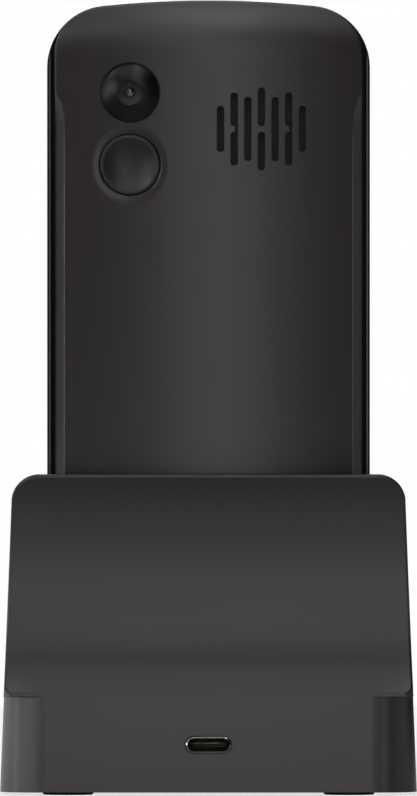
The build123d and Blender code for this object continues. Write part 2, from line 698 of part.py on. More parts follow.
def loudspeaker():
    """The loudspeaker: a round basket with a dished cone and a centre cap."""
    radius = SPEAKER_DIAMETER / 2
    speaker = rod(radius, grille_across, grille_along, plate_rear + FIT, speaker_rear)
    place = Plane((grille_across, speaker_rear, grille_along), (1, 0, 0), (0, 1, 0)).location
    speaker -= place * Cone(
        SPEAKER_CAP_RADIUS, radius - SPEAKER_GASKET_WIDTH, SPEAKER_DISH, align=DOWN
    )
    return speaker + place * Pos(0, 0, -SPEAKER_DISH) * Cone(
        SPEAKER_CAP_RADIUS, SPEAKER_CAP_RADIUS / 2, SPEAKER_DISH / 2, align=UP
    )


def speaker_gasket():
    """The foam ring that seals the loudspeaker to the cover."""
    ring = Circle(SPEAKER_DIAMETER / 2) - Circle(SPEAKER_DIAMETER / 2 - SPEAKER_GASKET_WIDTH)
    solid = slab(Pos(grille_across, grille_along) * ring, speaker_rear + FIT / 2, REAR_DEPTH)
    return solid & cover_form(COVER_WALL + MESH_THICKNESS + FIT, plate_rear)


def speaker_mesh():
    """The dust mesh stuck inside the cover behind the slots, bent to the crown."""
    sheet = cover_form(COVER_WALL + FIT / 2, plate_rear)
    sheet -= cover_form(COVER_WALL + FIT / 2 + MESH_THICKNESS, 0)
    width = (len(slot_spans) - 1) * SLOT_PITCH + SLOT_WIDTH + 2 * MESH_MARGIN
    length = MIDDLE_SLOT + 2 * MESH_MARGIN
    patch = RectangleRounded(width, length, 2 * MESH_MARGIN)
    return sheet & slab(Pos(grille_across, grille_along) * patch, plate_rear, REAR_DEPTH)


def usb_face(inset):
    """The rounded oblong of a USB-C socket, set in from the shell's outside."""
    return SlotOverall(USB_WIDTH - 2 * inset, USB_HEIGHT - 2 * inset)


def usb_form(gap, length):
    """The room that a socket takes, from beyond its mouth to a length behind it."""
    return Pos(0, 0, -length) * extrude(usb_face(-gap), amount=2 * length)


def usb_shell():
    """A socket's drawn metal shell, open at its mouth, with its back closed. The mouth looks up."""
    shell = Pos(0, 0, -USB_LENGTH) * extrude(usb_face(0), amount=USB_LENGTH)
    return shell - Pos(0, 0, USB_WALL - USB_LENGTH) * extrude(usb_face(USB_WALL), amount=USB_LENGTH)


def usb_tongue():
    """A socket's contact tongue on its insulating base."""
    base_length = USB_LENGTH / 4
    base = extrude(usb_face(USB_WALL + FIT / 2), amount=base_length)
    tongue_length = USB_LENGTH - USB_WALL - USB_TONGUE_SETBACK
    base += Box(*USB_TONGUE, tongue_length, align=UP)
    return Pos(0, 0, USB_WALL - USB_LENGTH + FIT / 2) * base


def contact_pair(piece):
    """Two like pieces at the charging contacts, left and right."""
    return [Pos(side * CONTACT_SPACING / 2, contact_depth, 0) * piece for side in (-1, 1)]


def screw(shank, head, head_height, length):
    """A screw with a flat round head and a cross recess, pointing down from the underside of its head."""
    body = Cylinder(shank, length, align=DOWN) + Cylinder(head, head_height, align=UP)
    for turn in (0, 90):
        arm = Box(2 * shank, shank / 2, head_height / 2, align=DOWN)
        body -= Pos(0, 0, head_height) * Rot(0, 0, turn) * arm
    return body


def housing_screws():
    """The screws through the chassis plate into the front housing."""
    fixing = Rot(-90, 0, 0) * screw(
        PHONE_SCREW_RADIUS, PHONE_SCREW_HEAD_RADIUS, PHONE_SCREW_HEAD, PHONE_SCREW_LENGTH
    )
    return [Pos(across, plate_rear, along) * fixing for across, along in boss_places]


def soften(face, place, radius):
    """Round one corner of a profile."""
    return fillet(face.vertices().sort_by_distance((*place, 0))[0], radius)


def cradle_profile():
    """The cradle from the side, as depth and height: scooped back, flared top, front lip and ramp."""
    rear = CRADLE_DEPTH / 2
    shelf_rear = (rear + CRADLE_OVERRUN, SHELF_HEIGHT - CRADLE_OVERRUN * shelf_rise)
    shelf_front = (WAIST_OFFSET, SHELF_HEIGHT + (rear - WAIST_OFFSET) * shelf_rise)
    turn = math.asin((BACK_TOP - FLARE_START) / FLARE_RADIUS)
    flare = [
        (
            WAIST_OFFSET + FLARE_RADIUS * (1 - math.cos(share * turn)),
            FLARE_START + FLARE_RADIUS * math.sin(share * turn),
        )
        for share in (0, 0.5, 1)
    ]
    top_front = (SWEEP_TOP, BACK_TOP)
    sweep_foot = (SWEEP_FOOT, LIP_HEIGHT)
    lip_front = (SEAT_OFFSET - FRONT_DEPTH - POCKET_CLEARANCE - LIP_THICKNESS, LIP_HEIGHT)
    fall = (LIP_HEIGHT - NOSE_HEIGHT) / (lip_front[0] + rear)
    nose = (-rear - CRADLE_OVERRUN, NOSE_HEIGHT - CRADLE_OVERRUN * fall)
    face = make_face(
        [
            Line((nose[0], FOOT_RISE), (shelf_rear[0], FOOT_RISE)),
            Line((shelf_rear[0], FOOT_RISE), shelf_rear),
            Line(shelf_rear, shelf_front),
            Line(shelf_front, flare[0]),
            ThreePointArc(*flare),
            Line(flare[2], top_front),
            Line(top_front, sweep_foot),
            Line(sweep_foot, lip_front),
            Line(lip_front, nose),
            Line(nose, (nose[0], FOOT_RISE)),
        ]
    )
    face = soften(face, shelf_front, SCOOP_RADIUS)
    face = soften(face, sweep_foot, SWEEP_RADIUS)
    return soften(face, lip_front, LIP_EDGE_RADIUS)


def cradle_block(inset, top, corner=CRADLE_CORNER_RADIUS):
    """The drafted block that bounds the cradle, from its lower edge to a height."""
    face = RectangleRounded(CRADLE_WIDTH - 2 * inset, CRADLE_DEPTH - 2 * inset, corner - inset)
    return extrude(Pos(0, 0, FOOT_RISE) * face, amount=top - FOOT_RISE, taper=CRADLE_DRAFT)


def cradle_front():
    """The cradle as seen from behind: drafted sides with round top corners."""
    top = BACK_TOP + FIT / 5
    half_foot = CRADLE_WIDTH / 2 + FOOT_RISE * draft + FIT / 5
    half_top = half_foot - top * draft
    corners = [(-half_foot, 0), (half_foot, 0), (half_top, top), (-half_top, top)]
    face = make_face(Polyline(*corners, close=True))
    return fillet(face.vertices().group_by(Axis.Y)[-1], BACK_CORNER_RADIUS)


def pocket_form():
    """The room for the phone's lower end, with clearance all round, in the phone's frame."""
    face = offset(outline(), amount=POCKET_CLEARANCE)
    face += Pos(0, PHONE_LENGTH / 2) * Rectangle(PHONE_WIDTH + 2 * POCKET_CLEARANCE, PHONE_LENGTH / 2)
    pocket = slab(face, front_face - POCKET_CLEARANCE, REAR_DEPTH + POCKET_CLEARANCE)
    round_back = Pos(0, REAR_DEPTH - CROWN_RADIUS) * Circle(CROWN_RADIUS + POCKET_CLEARANCE)
    return pocket & Pos(0, 0, -PHONE_LENGTH) * extrude(round_back, amount=3 * PHONE_LENGTH)


def cradle_outside():
    """The cradle's outer body, softened where its walls and top meet the scooped and ramped faces.

    The panel above the shelf has tighter corners than the base, and stands over them with a thin lip.
    """
    body = extrude(Plane.YZ * cradle_profile(), amount=CRADLE_WIDTH, both=True)
    panel = cradle_block(0, BACK_TOP + CRADLE_OVERRUN, PANEL_CORNER_RADIUS)
    behind = Box(2 * CRADLE_WIDTH, CRADLE_DEPTH, BACK_TOP, align=UP)
    panel &= Pos(0, CRADLE_DEPTH / 2, shelf_edge - PANEL_LIP) * behind
    body &= cradle_block(0, BACK_TOP + CRADLE_OVERRUN) + panel
    body &= slab(cradle_front(), -CRADLE_DEPTH, CRADLE_DEPTH)
    walls = []
    for face in body.faces():
        bottom = face.bounding_box().min.Z
        normal = face.normal_at()
        outer = abs(normal.X) > FIT or normal.Z < FIT - 1
        if outer or bottom < FOOT_RISE + FIT or bottom > BACK_TOP - FIT:
            walls.append(face)
    edges = [edge for face in walls for edge in face.edges()]
    rim = [edge for edge in edges if sum(edge.is_same(other) for other in edges) == 1]
    return fillet(rim, CRADLE_EDGE_RADIUS)


def cradle_shell():
    """The cradle's moulded shell: pocket, hollow base, contact well, socket opening and bosses."""
    shell = cradle_outside()
    shell -= IN_CRADLE * pocket_form()
    hollow = cradle_block(CRADLE_WALL, ceiling)
    hollow &= extrude(Plane.YZ * offset(cradle_profile(), amount=-CRADLE_WALL), CRADLE_WIDTH, both=True)
    hollow += cradle_block(CRADLE_WALL, base_cover_top + CRADLE_WALL)
    shell -= hollow
    lip_width = block_width + 2 * BLOCK_LIP
    lip_depth = BLOCK_DEPTH + 2 * BLOCK_LIP
    well = Box(lip_width + 4 * FIT, lip_depth + 4 * FIT, SEAT_HEIGHT - ceiling, align=DOWN)
    shell -= IN_CRADLE * Pos(0, contact_depth, -SEAT_GAP - POCKET_FLOOR) * well
    hole = Box(block_width + 2 * FIT, BLOCK_DEPTH + 2 * FIT, SEAT_HEIGHT - ceiling, align=DOWN)
    shell -= IN_CRADLE * Pos(0, contact_depth, 0) * hole
    for across, along in cradle_screw_places:
        post = Cylinder(CRADLE_BOSS_RADIUS, ceiling - base_cover_top - FIT, align=DOWN)
        bore = Cylinder(CRADLE_SCREW_RADIUS + SCREW_GAP, CRADLE_SCREW_LENGTH, align=UP)
        shell += Pos(across, along, ceiling) * post
        shell -= Pos(across, along, base_cover_top) * bore
    return shell - CRADLE_SOCKET * usb_form(USB_GAP, USB_LENGTH)


def cradle_base_cover():
    """The cradle's bottom plate, with foot pockets, screw seats and board standoffs."""
    cover = cradle_block(CRADLE_WALL + BASE_COVER_GAP, base_cover_top)
    for across, along in foot_places:
        cover -= Pos(across, along, FOOT_RISE) * Cylinder(
            FOOT_DIAMETER / 2 + FIT, FOOT_SINK, align=UP
        )
    head_room = CRADLE_SCREW_SINK + CRADLE_SCREW_HEAD
    for across, along in cradle_screw_places:
        place = Pos(across, along, FOOT_RISE)
        cover -= place * Cylinder(CRADLE_SCREW_RADIUS + SCREW_GAP, BASE_COVER_THICKNESS, align=UP)
        cover -= place * Cylinder(CRADLE_SCREW_HEAD_RADIUS + FIT, head_room, align=UP)
    for across, along in standoff_places:
        height = cradle_board_bottom - base_cover_top
        peg = height + CRADLE_BOARD_THICKNESS + PEG_PROUD
        cover += Pos(across, along, base_cover_top) * Cylinder(STANDOFF_RADIUS, height, align=UP)
        cover += Pos(across, along, base_cover_top) * Cylinder(STANDOFF_PEG_RADIUS, peg, align=UP)
    return cover


def cradle_feet():
    """The four round rubber feet."""
    foot = Cylinder(FOOT_DIAMETER / 2, FOOT_RISE + FOOT_SINK, align=UP)
    foot = chamfer(foot.faces().sort_by(Axis.Z)[0].edges(), FOOT_RISE / 3)
    return [Pos(across, along, 0) * foot for across, along in foot_places]


def cradle_screws():
    """The screws that hold the bottom plate to the shell's bosses."""
    fixing = Rot(180, 0, 0) * screw(
        CRADLE_SCREW_RADIUS,
        CRADLE_SCREW_HEAD_RADIUS,
        CRADLE_SCREW_HEAD,
        CRADLE_SCREW_LENGTH - CRADLE_SCREW_HEAD,
    )
    height = FOOT_RISE + CRADLE_SCREW_SINK + CRADLE_SCREW_HEAD
    return [Pos(across, along, height) * fixing for across, along in cradle_screw_places]


def cradle_board():
    """The cradle's circuit board on the standoffs, under the socket and the contact block."""
    length = cradle_board_rear + CRADLE_BOARD_FRONT
    middle = (cradle_board_rear - CRADLE_BOARD_FRONT) / 2
    board = Box(CRADLE_BOARD_WIDTH, length, CRADLE_BOARD_THICKNESS, align=DOWN)
    board = Pos(0, middle, cradle_board_top) * board
    for across, along in standoff_places:
        hole = Cylinder(STANDOFF_PEG_RADIUS + FIT, CRADLE_BOARD_THICKNESS, align=DOWN)
        board -= Pos(across, along, cradle_board_top) * hole
    return board


def contact_block():
    """The block that holds the charging pins, standing on the board and through the pocket floor."""
    body = Box(block_width, BLOCK_DEPTH, SEAT_HEIGHT, align=DOWN)
    body = Pos(0, contact_depth, block_top) * body
    lip_level = -SEAT_GAP - POCKET_FLOOR - FIT
    lip = Box(block_width + 2 * BLOCK_LIP, BLOCK_DEPTH + 2 * BLOCK_LIP, BLOCK_LIP_THICKNESS, align=DOWN)
    body += Pos(0, contact_depth, lip_level) * lip
    for barrel_room in contact_pair(Cylinder(BARREL_RADIUS + FIT / 5, BARREL_LENGTH, align=DOWN)):
        body -= Pos(0, 0, block_top) * barrel_room
    above_board = Box(CRADLE_WIDTH, CRADLE_DEPTH, SEAT_HEIGHT, align=UP)
    return (IN_CRADLE * body) & Pos(0, 0, cradle_board_top + FIT / 2) * above_board


def contact_barrel():
    """One turned barrel, closed at its lower end, that guides a charging pin."""
    barrel = Cylinder(BARREL_RADIUS, BARREL_LENGTH - FIT, align=DOWN)
    bore = Cylinder(PIN_RADIUS + PIN_GAP, BARREL_LENGTH - FIT - BARREL_FLOOR, align=DOWN)
    return Pos(0, 0, block_top) * (barrel - bore)


def contact_pin():
    """One sprung charging pin with a rounded tip."""
    pin = Cylinder(PIN_RADIUS, PIN_LENGTH, align=DOWN)
    pin = fillet(pin.faces().sort_by(Axis.Z)[-1].edges(), PIN_TIP_RADIUS)
    return Pos(0, 0, pin_top) * pin


def charge_pad():
    """One gilt charging pad in the phone's bottom end."""
    return Pos(0, 0, pad_bottom) * Cylinder(PAD_RADIUS, PAD_THICKNESS, align=UP)


def gather(solids):
    """Like pieces kept as one group of separate solids."""
    return Compound([solid for piece in solids for solid in piece.solids()])


window_face = RectangleRounded(window_width, window_length, WINDOW_CORNER_RADIUS - FIT)
earpiece_along = PHONE_LENGTH - EARPIECE_FROM_TOP
mesh_slot = SlotOverall(EARPIECE_SLOT[0] - FIT, EARPIECE_SLOT[1] - FIT)
battery_face = RectangleRounded(battery_width, battery_length, BATTERY_CORNER_RADIUS)
sim_along = BATTERY_RISE - BAY_GAP - BAY_WALL - SIM_GAP - SIM_SIZE[1] / 2
motor_along = bay_middle + bay_length / 2 + BAY_WALL + MOTOR_GAP + MOTOR_DIAMETER / 2

phone_pieces = {
    "front_housing": front_housing(),
    "chassis_frame": chassis_frame(),
    "rear_cover": rear_cover(),
    "display_window": slab(Pos(0, window_middle) * window_face, front_face, window_rear),
    "display_panel": block(
        panel_width, panel_length, 0, window_middle, window_rear + FIT, board_front - FIT
    ),
    "keypad_sheet": keypad_sheet(),
    "main_board": main_board(),
    "board_shield": board_shield(),
    "battery": slab(
        Pos(0, BATTERY_RISE + battery_length / 2) * battery_face, plate_rear + FIT, battery_rear
    ),
    "battery_terminals": battery_terminals(),
    "sim_socket": block(
        SIM_SIZE[0], SIM_SIZE[1], 0, sim_along, plate_rear + FIT, plate_rear + FIT + SIM_SIZE[2]
    ),
    "vibration_motor": rod(
        MOTOR_DIAMETER / 2, motor_across, motor_along, plate_rear + FIT, plate_rear + FIT + MOTOR_THICKNESS
    ),
    "earpiece": block(*EARPIECE_SIZE, 0, earpiece_along, front_inner + FIT, board_front - FIT),
    "earpiece_mesh": slab(
        Pos(0, earpiece_along) * mesh_slot, front_inner - MESH_THICKNESS, front_inner
    ),
    "microphone": block(*MICROPHONE_SIZE, 0, MICROPHONE_RISE, front_inner + FIT, board_front - FIT),
    "camera_module": camera_module(),
    "camera_lens": camera_lens(),
    "camera_bezel": camera_bezel(),
    "camera_window": camera_window(),
    "sos_button": sos_button(),
    "sos_switch": sos_switch(),
    "loudspeaker": loudspeaker(),
    "speaker_gasket": speaker_gasket(),
    "speaker_mesh": speaker_mesh(),
    "phone_usb_shell": PHONE_SOCKET * usb_shell(),
    "phone_usb_tongue": PHONE_SOCKET * usb_tongue(),
    "charge_pads": gather(contact_pair(charge_pad())),
    "housing_screws": gather(housing_screws()),
    "nav_rocker": nav_rocker(),
    "contact_barrels": gather(contact_pair(contact_barrel())),
    "contact_pin_left": contact_pair(contact_pin())[0],
    "contact_pin_right": contact_pair(contact_pin())[1],
}
key_form = key(key_width, KEY_HEIGHT, key_lip_front, key_lip_rear)
for name, (across, along) in key_places.items():
    phone_pieces[name] = Pos(across, 0, along) * key_form

cradle_pieces = {
    "cradle_shell": cradle_shell(),
    "cradle_base_cover": cradle_base_cover(),
    "cradle_feet": gather(cradle_feet()),
    "cradle_screws": gather(cradle_screws()),
    "cradle_board": cradle_board(),
    "cradle_usb_shell": CRADLE_SOCKET * usb_shell(),
    "cradle_usb_tongue": CRADLE_SOCKET * usb_tongue(),
    "contact_block": contact_block(),
}

os.makedirs("parts", exist_ok=True)
for name, piece in phone_pieces.items():
    export_step(IN_CRADLE * piece, f"parts/{name}.step")
for name, piece in cradle_pieces.items():
    export_step(piece, f"parts/{name}.step")
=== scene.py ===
import bmesh
import bpy
import math
from mathutils import Euler, Matrix, Vector


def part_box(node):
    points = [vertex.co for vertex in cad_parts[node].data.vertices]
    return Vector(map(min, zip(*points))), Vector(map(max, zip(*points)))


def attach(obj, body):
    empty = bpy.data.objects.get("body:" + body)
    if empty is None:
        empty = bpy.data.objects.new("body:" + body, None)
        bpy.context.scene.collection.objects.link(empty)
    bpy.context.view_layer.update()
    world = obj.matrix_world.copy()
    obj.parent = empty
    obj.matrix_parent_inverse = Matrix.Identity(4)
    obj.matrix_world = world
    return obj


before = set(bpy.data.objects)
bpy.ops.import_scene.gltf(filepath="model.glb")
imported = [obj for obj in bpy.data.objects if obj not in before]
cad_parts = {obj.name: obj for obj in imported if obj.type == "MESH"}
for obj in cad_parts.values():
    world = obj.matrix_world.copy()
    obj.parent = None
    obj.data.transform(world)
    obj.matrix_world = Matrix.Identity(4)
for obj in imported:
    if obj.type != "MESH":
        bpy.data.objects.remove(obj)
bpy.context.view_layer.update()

# The cradle's shell is one injection moulding in charcoal plastic, scooped at the back.
# Its mould is spark-eroded, which leaves a fine, satin grain and slightly uneven gloss.
CHARCOAL = (0.0155, 0.0104, 0.0103)
SATIN_GRAIN = 0.00022
SATIN_DEPTH = 0.12
SOFT_EDGE = 0.00025


def new_finish(name):
    """Starts a finish: gives its material, node tree, shader and the place of a point on its own piece."""
    material = bpy.data.materials.new(name)
    material.use_nodes = True
    tree = material.node_tree
    place = tree.nodes.new("ShaderNodeTexCoord").outputs["Object"]
    return material, tree, tree.nodes["Principled BSDF"], place


def mottle(tree, place, scale, detail):
    """An uneven pattern without direction."""
    noise = tree.nodes.new("ShaderNodeTexNoise")
    noise.inputs["Scale"].default_value = scale
    noise.inputs["Detail"].default_value = detail
    tree.links.new(place, noise.inputs["Vector"])
    return noise.outputs["Fac"]


def shade(colour, part):
    """A darker or paler shade of a colour."""
    return [part * value for value in colour]


def tint(tree, pattern, shader, dark, pale, ends=(0, 1)):
    """Colours a finish along a pattern, from dark to pale between two ends of its range."""
    ramp = tree.nodes.new("ShaderNodeValToRGB")
    for stop, end, colour in zip(ramp.color_ramp.elements, ends, (dark, pale)):
        stop.position = end
        stop.color = list(colour) + [1]
    tree.links.new(pattern, ramp.inputs["Fac"])
    tree.links.new(ramp.outputs["Color"], shader.inputs["Base Color"])


def between(tree, value, start, end, first, last):
    """Turns the range of a value from start to end into the range from first to last."""
    scale = tree.nodes.new("ShaderNodeMapRange")
    scale.inputs["From Min"].default_value = start
    scale.inputs["From Max"].default_value = end
    scale.inputs["To Min"].default_value = first
    scale.inputs["To Max"].default_value = last
    tree.links.new(value, scale.inputs["Value"])
    return scale.outputs["Result"]


def vary_gloss(tree, pattern, shader, least, most):
    """Roughens a finish along a pattern, from the least to the most."""
    tree.links.new(between(tree, pattern, 0, 1, least, most), shader.inputs["Roughness"])


def raise_grain(tree, pattern, shader, strength, height):
    """Lets a pattern stand out of a finish, and gives the node that does it."""
    bump = tree.nodes.new("ShaderNodeBump")
    bump.inputs["Strength"].default_value = strength
    bump.inputs["Distance"].default_value = height
    tree.links.new(pattern, bump.inputs["Height"])
    tree.links.new(bump.outputs["Normal"], shader.inputs["Normal"])
    return bump


def moulded(name, colour, roughness, shine, grain_size, grain_depth):
    """Moulded plastic: faint clouds of colour, an even fine grain and edges that are a little soft."""
    material, tree, shader, place = new_finish(name)
    shader.inputs["Specular IOR Level"].default_value = shine
    clouds = mottle(tree, place, 60, 4)
    tint(tree, clouds, shader, shade(colour, 0.93), shade(colour, 1.07), (0.3, 0.7))
    grain = mottle(tree, place, 1 / grain_size, 2)
    vary_gloss(tree, grain, shader, roughness - 0.05, roughness + 0.05)
    bump = raise_grain(tree, grain, shader, grain_depth, grain_size / 6)
    soft_edge = tree.nodes.new("ShaderNodeBevel")
    soft_edge.inputs["Radius"].default_value = SOFT_EDGE
    tree.links.new(soft_edge.outputs["Normal"], bump.inputs["Normal"])
    return material


def dress(material, *names):
    """Gives a finish to nodes of the model."""
    for name in names:
        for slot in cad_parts[name].material_slots:
            slot.material = material


dress(moulded("cradle_charcoal", CHARCOAL, 0.39, 0.55, SATIN_GRAIN, SATIN_DEPTH), "cradle_shell")

# The bottom cover is a flat moulding of the same plastic, left with a coarser, duller grain.
# Four screws pull it up into the shell.
dress(moulded("cover_charcoal", (0.0145, 0.01, 0.0099), 0.55, 0.4, 0.0003, 0.4), "cradle_base_cover")

# The four feet are moulded rubber pads, pressed into pockets of the bottom cover.
# The rubber is dull and has a coarse, even grain.
dress(moulded("foot_rubber", (0.012, 0.012, 0.012), 0.8, 0.25, 0.0005, 0.6), "cradle_feet")


# The screws are turned from steel, rolled with a thread and plated with zinc.
# The heads show fine lines from turning, and the plating is a little cloudy.
def plated(name, colour, roughness, stretch):
    """Bright metal with fine lines, drawn out along the axes whose stretch is small, and cloudy gloss."""
    material, tree, shader, place = new_finish(name)
    shader.inputs["Metallic"].default_value = 1
    drawn_out = tree.nodes.new("ShaderNodeMapping")
    drawn_out.inputs["Scale"].default_value = stretch
    tree.links.new(place, drawn_out.inputs["Vector"])
    lines = mottle(tree, drawn_out.outputs["Vector"], 1000, 3)
    tint(tree, lines, shader, shade(colour, 0.82), colour)
    vary_gloss(tree, lines, shader, roughness - 0.07, roughness + 0.07)
    raise_grain(tree, lines, shader, 0.15, 0.00003)
    return material


dress(plated("zinc_plate", (0.62, 0.62, 0.64), 0.3, (1, 1, 0.3)), "cradle_screws", "housing_screws")


# The boards are green glass-fibre laminate with a lacquer over the woven glass.
# They are routed out of a panel and held between the mouldings.
def laminate(name, colour):
    """Lacquered laminate with the square weave of its glass showing faintly."""
    material, tree, shader, place = new_finish(name)
    shader.inputs["Roughness"].default_value = 0.3
    weave = tree.nodes.new("ShaderNodeTexChecker")
    weave.inputs["Scale"].default_value = 1600
    weave.inputs["Color1"].default_value = list(colour) + [1]
    weave.inputs["Color2"].default_value = shade(colour, 1.25) + [1]
    tree.links.new(place, weave.inputs["Vector"])
    tree.links.new(weave.outputs["Color"], shader.inputs["Base Color"])
    raise_grain(tree, weave.outputs["Fac"], shader, 0.1, 0.00005)
    return material


dress(laminate("green_laminate", (0.012, 0.075, 0.03)), "cradle_board", "main_board")

# The cradle's USB-C socket has a shell drawn and folded from stainless strip, soldered to the board.
# The phone's own socket at its bottom end is the same part.
# The shell's steel is coloured nearly black, a painted shade for the dark inside of each socket.
shade_dark_steel = plated("shade_dark_steel", (0.05, 0.049, 0.048), 0.65, (0.2, 1, 1))
dress(shade_dark_steel, "cradle_usb_shell", "phone_usb_shell")

# The mouth of each shell is coined to a bright lip that slopes outward, so that a plug slides in.
# The lip is a ring of three-cornered section, bent round the shell's two ends.
SHELL_WIDTH = 0.00894
SHELL_HEIGHT = 0.0032
LIP_WIDTH = 0.00025
LIP_STAND = 0.00013
LIP_STEPS = 12

lip_steel = plated("lip_steel", (0.6, 0.59, 0.58), 0.2, (1, 1, 1))


def fix(name, shape, seat, material, body):
    """Makes a piece of a shape, puts it in its seat and lets it ride on a body."""
    mesh = bpy.data.meshes.new(name)
    shape.to_mesh(mesh)
    shape.free()
    mesh.transform(seat)
    mesh.materials.append(material)
    piece = bpy.data.objects.new(name, mesh)
    bpy.context.collection.objects.link(piece)
    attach(piece, body)


def socket_lip(name, seat, body):
    """Bends the lip's section round one end of the mouth, runs it across, and does both once more."""
    end_middle = (SHELL_WIDTH - SHELL_HEIGHT) / 2
    lip = bmesh.new()
    corners = []
    for inward, level in ((0, 0), (LIP_WIDTH, LIP_STAND), (LIP_WIDTH, 0)):
        corners.append(lip.verts.new((end_middle, inward - SHELL_HEIGHT / 2, level)))
    sides = [lip.edges.new((corners[count - 1], corners[count])) for count in range(len(corners))]
    for end in (1, -1):
        centre = (end * end_middle, 0, 0)
        bent = bmesh.ops.spin(
            lip, geom=corners + sides, cent=centre, axis=(0, 0, 1), angle=math.pi, steps=LIP_STEPS
        )["geom_last"]
        last_sides = [part for part in bent if isinstance(part, bmesh.types.BMEdge)]
        run = bmesh.ops.extrude_edge_only(lip, edges=last_sides)["geom"]
        corners = [part for part in run if isinstance(part, bmesh.types.BMVert)]
        bmesh.ops.translate(lip, vec=(-2 * end * end_middle, 0, 0), verts=corners)
        run_edges = [part for part in run if isinstance(part, bmesh.types.BMEdge)]
        sides = [edge for edge in run_edges if set(edge.verts) <= set(corners)]
    bmesh.ops.remove_doubles(lip, verts=lip.verts, dist=LIP_STAND / 100)
    bmesh.ops.recalc_face_normals(lip, faces=lip.faces)
    fix(name, lip, seat, lip_steel, body)


shell_low, shell_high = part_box("cradle_usb_shell")
CRADLE_MOUTH = (
    Matrix.Translation((0, shell_high[1], (shell_low[2] + shell_high[2]) / 2))
    @ Matrix.Rotation(math.radians(-90), 4, "X")
)
socket_lip("cradle_socket_lip", CRADLE_MOUTH, "cradle")

# The tongue inside each socket is a thin black blade of heat-proof plastic on a thicker base.
# It is moulded round its contacts and pushed into the shell from behind.
tongue_black = moulded("tongue_black", (0.003, 0.003, 0.003), 0.6, 0.2, 0.0002, 0.3)
dress(tongue_black, "cradle_usb_tongue", "phone_usb_tongue")

# The contacts of a tongue are twelve gilt strips a side, stamped from a copper alloy.
# They lie in the plastic, flush but for a hair, and run back from the tongue's front edge.
TONGUE_THICKNESS = 0.0007
TONGUE_SETBACK = 0.001
CONTACTS_A_SIDE = 12
CONTACT_PITCH = 0.0005
CONTACT_WIDTH = 0.00026
CONTACT_STAND = 0.00002
CONTACT_LENGTH = 0.003
CONTACT_FROM_EDGE = 0.0004

gilt = plated("gilt_contact", (0.78, 0.55, 0.22), 0.25, (1, 0.2, 1))


def contact_strips(name, seat, body):
    """Lays the strips on both faces of a tongue, behind the mouth of its socket."""
    depth = TONGUE_SETBACK + CONTACT_FROM_EDGE + CONTACT_LENGTH / 2
    strips = bmesh.new()
    for side in (-1, 1):
        for count in range(CONTACTS_A_SIDE):
            across = (count - (CONTACTS_A_SIDE - 1) / 2) * CONTACT_PITCH
            strip = bmesh.ops.create_cube(strips, size=1)["verts"]
            bmesh.ops.scale(strips, vec=(CONTACT_WIDTH, 2 * CONTACT_STAND, CONTACT_LENGTH), verts=strip)
            bmesh.ops.translate(strips, vec=(across, side * TONGUE_THICKNESS / 2, -depth), verts=strip)
    fix(name, strips, seat, gilt, body)


contact_strips("cradle_usb_contacts", CRADLE_MOUTH, "cradle")

# The contact block is a black nylon moulding under the pocket's floor, and holds two sprung pins.
# The pins, their barrels and the pads and terminals they feed are turned or stamped brass, gilded.
nylon = moulded("black_nylon", (0.01, 0.01, 0.0105), 0.5, 0.4, 0.0003, 0.3)
dress(nylon, "contact_block")
dress(gilt, "contact_barrels", "contact_pin_left", "contact_pin_right", "charge_pads", "battery_terminals")

# The chassis frame is the phone's backbone, a black moulding whose rim shows round the rear cover.
# The mould is matt, apart from a narrow polished land down each side of the rim, which shines as a line.
LAND_FROM_MIDDLE = 0.0315
LAND_WIDTH = 0.0003
MATT_SHINE = 0.05
LAND_SHINE = 0.6


def own_place(tree):
    """The place of a point on its own piece, as X, Y and Z."""
    split = tree.nodes.new("ShaderNodeSeparateXYZ")
    tree.links.new(tree.nodes.new("ShaderNodeTexCoord").outputs["Object"], split.inputs["Vector"])
    return split.outputs


def reckon(tree, operation, *terms):
    """Works out a value of a finish from other values and plain numbers."""
    step = tree.nodes.new("ShaderNodeMath")
    step.operation = operation
    for entry, term in zip(step.inputs, terms):
        if isinstance(term, bpy.types.NodeSocket):
            tree.links.new(term, entry)
        else:
            entry.default_value = term
    return step.outputs["Value"]


def side_line(tree, place, from_middle, width):
    """The value 1 on a narrow line down each side of the phone, and 0 elsewhere."""
    return reckon(tree, "COMPARE", reckon(tree, "ABSOLUTE", place["X"]), from_middle, width / 2)


frame_black = moulded("frame_black", (0.002, 0.002, 0.002), 0.35, MATT_SHINE, 0.0002, SATIN_DEPTH)
tree = frame_black.node_tree
on_land = side_line(tree, own_place(tree), LAND_FROM_MIDDLE, LAND_WIDTH)
shine = between(tree, on_land, 0, 1, MATT_SHINE, LAND_SHINE)
tree.links.new(shine, tree.nodes["Principled BSDF"].inputs["Specular IOR Level"])
dress(frame_black, "chassis_frame")

# Inside the phone, the shield can, the motor's case and the card socket are drawn from tinned steel sheet.
# They are soldered to the main board or clipped beside it.
tinned_steel = plated("tinned_steel", (0.55, 0.55, 0.54), 0.35, (1, 0.3, 1))
dress(tinned_steel, "board_shield", "vibration_motor", "sim_socket")

# The battery is a flat cell in a dark grey shrunk sleeve, dull and slightly creased.
# It lies in a bay of the chassis frame under the rear cover.
dress(moulded("cell_sleeve", (0.05, 0.053, 0.058), 0.5, 0.4, 0.002, 0.3), "battery")

# The small works are the camera module, earpiece, microphone, loudspeaker and button switch.
# They have black moulded cases and are set into the frame and the housing.
dress(moulded("camera_black", (0.02, 0.021, 0.023), 0.5, 0.4, 0.0002, 0.15), "camera_module")
dress(nylon, "earpiece", "microphone", "loudspeaker", "sos_switch")


